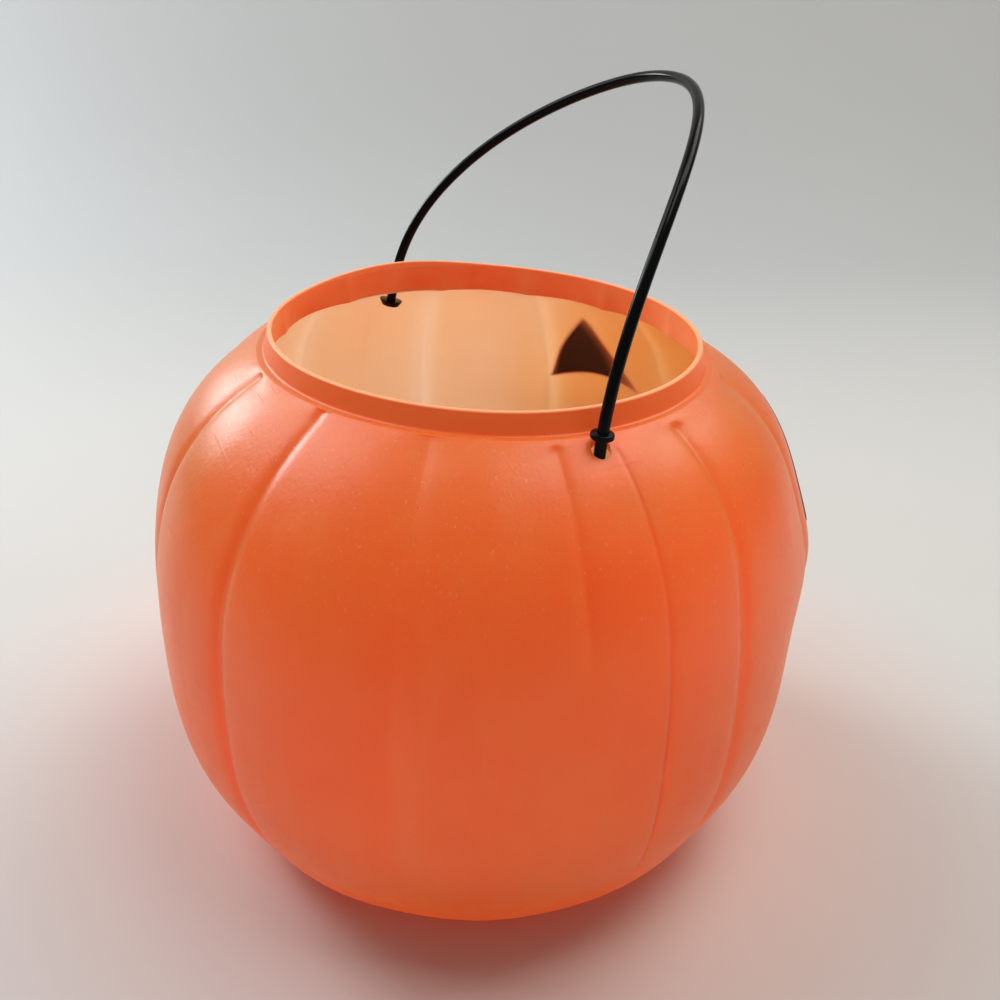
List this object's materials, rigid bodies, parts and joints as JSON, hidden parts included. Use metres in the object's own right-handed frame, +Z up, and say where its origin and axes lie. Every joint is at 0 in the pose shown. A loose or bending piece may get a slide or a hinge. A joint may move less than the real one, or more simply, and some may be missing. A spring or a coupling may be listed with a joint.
{
  "type": "pumpkin candy pail",
  "caption": "Hollow ribbed pumpkin pail with a painted jack-o'-lantern face and a thin arched bail that swings in holes in the shoulder.",
  "frame": {"origin": "centre of the base, on the plane that the foot ring rests on", "axes": "+Z up, -Y toward the painted face, X along the line through the two bail holes"},
  "size_m": [0.2158, 0.216, 0.2435],
  "materials": {
    "orange_plastic": "thin translucent blow-moulded polyethylene with a soft satin sheen",
    "black_plastic": "glossy black moulded plastic",
    "black_paint": "sprayed black paint"
  },
  "bodies": {
    "pail": {"pail_shell": "orange_plastic", "left_eye": "black_paint", "right_eye": "black_paint", "nose": "black_paint", "mouth": "black_paint"},
    "bail": {"bail": "black_plastic"}
  },
  "joints": [
    {"name": "bail_swing", "type": "hinge", "parent": "pail", "child": "bail", "pos_m": [0, 0, 0.1617], "axis": [1, 0, 0], "range_deg": [-28, 12]}
  ]
}
